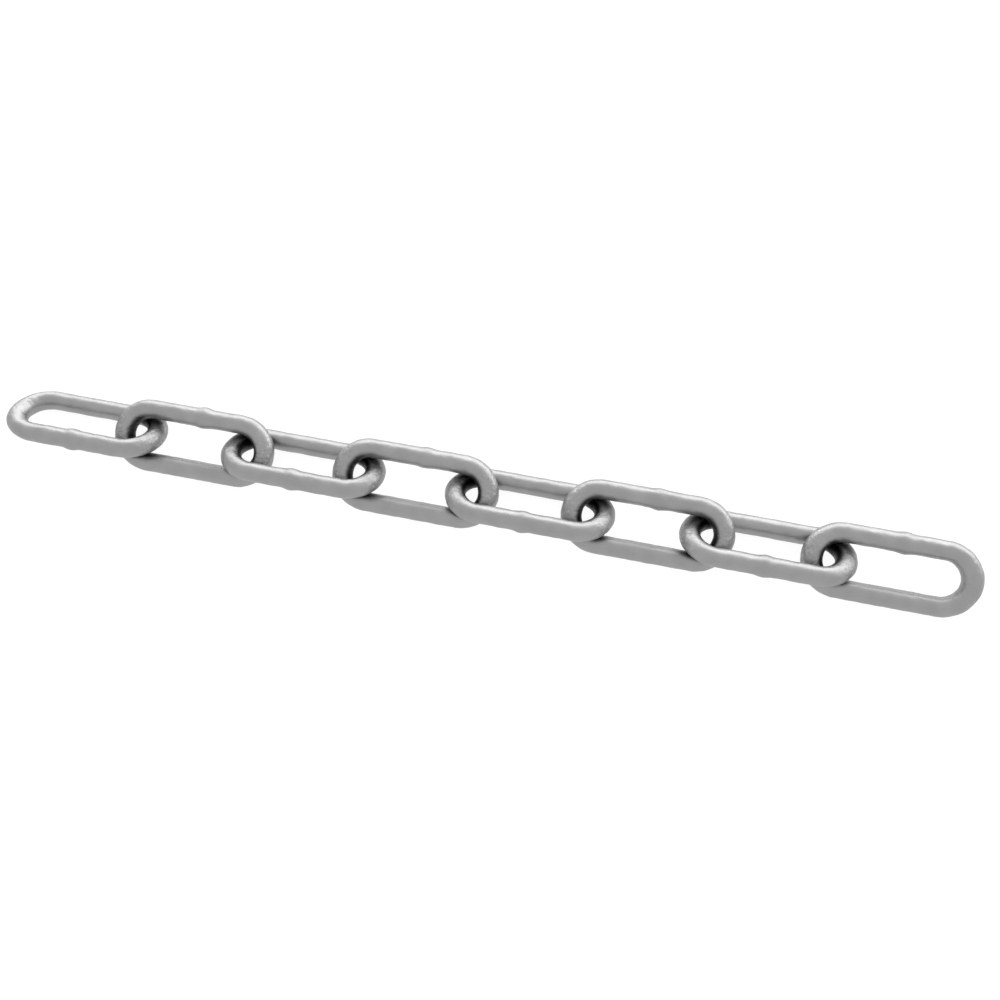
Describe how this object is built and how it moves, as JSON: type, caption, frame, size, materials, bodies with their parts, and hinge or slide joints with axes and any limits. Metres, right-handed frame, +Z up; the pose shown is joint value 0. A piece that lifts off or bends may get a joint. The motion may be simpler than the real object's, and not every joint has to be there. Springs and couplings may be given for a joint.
{
  "type": "length of steel chain",
  "caption": "Straight length of welded long-link steel chain laid slack on a floor: oval round-wire links, each leaning over against its neighbours and free to swing on them.",
  "frame": {"origin": "on the floor, under the middle of the chain's length", "axes": "+X along the chain towards link_8, +Z up, -Y towards the welded legs of the odd links"},
  "size_m": [0.402, 0.029, 0.0181],
  "materials": {
    "chain_steel": "satin, lightly pitted, with a faint zinc-grey bloom"
  },
  "bodies": {
    "link_1": {"link_1": "chain_steel"},
    "link_2": {"link_2": "chain_steel"},
    "link_3": {"link_3": "chain_steel"},
    "link_4": {"link_4": "chain_steel"},
    "link_5": {"link_5": "chain_steel"},
    "link_6": {"link_6": "chain_steel"},
    "link_7": {"link_7": "chain_steel"},
    "link_8": {"link_8": "chain_steel"}
  },
  "joints": [
    {"name": "swing_2_on_1", "type": "hinge", "parent": "link_1", "child": "link_2", "pos_m": [-0.13775, 0, 0.00877], "axis": [0, -0.4339, 0.901], "range_deg": [-120, 120]},
    {"name": "swing_3_on_2", "type": "hinge", "parent": "link_2", "child": "link_3", "pos_m": [-0.09025, 0, 0.00877], "axis": [0, -0.4339, -0.901], "range_deg": [-120, 120]},
    {"name": "swing_4_on_3", "type": "hinge", "parent": "link_3", "child": "link_4", "pos_m": [-0.04275, 0, 0.00877], "axis": [0, 0.4339, -0.901], "range_deg": [-120, 120]},
    {"name": "swing_5_on_4", "type": "hinge", "parent": "link_4", "child": "link_5", "pos_m": [0.00475, 0, 0.00877], "axis": [0, 0.4339, 0.901], "range_deg": [-120, 120]},
    {"name": "swing_6_on_5", "type": "hinge", "parent": "link_5", "child": "link_6", "pos_m": [0.05225, 0, 0.00877], "axis": [0, -0.4339, 0.901], "range_deg": [-120, 120]},
    {"name": "swing_7_on_6", "type": "hinge", "parent": "link_6", "child": "link_7", "pos_m": [0.09975, 0, 0.00877], "axis": [0, -0.4339, -0.901], "range_deg": [-120, 120]},
    {"name": "swing_8_on_7", "type": "hinge", "parent": "link_7", "child": "link_8", "pos_m": [0.14725, 0, 0.00877], "axis": [0, 0.4339, -0.901], "range_deg": [-120, 120]}
  ]
}
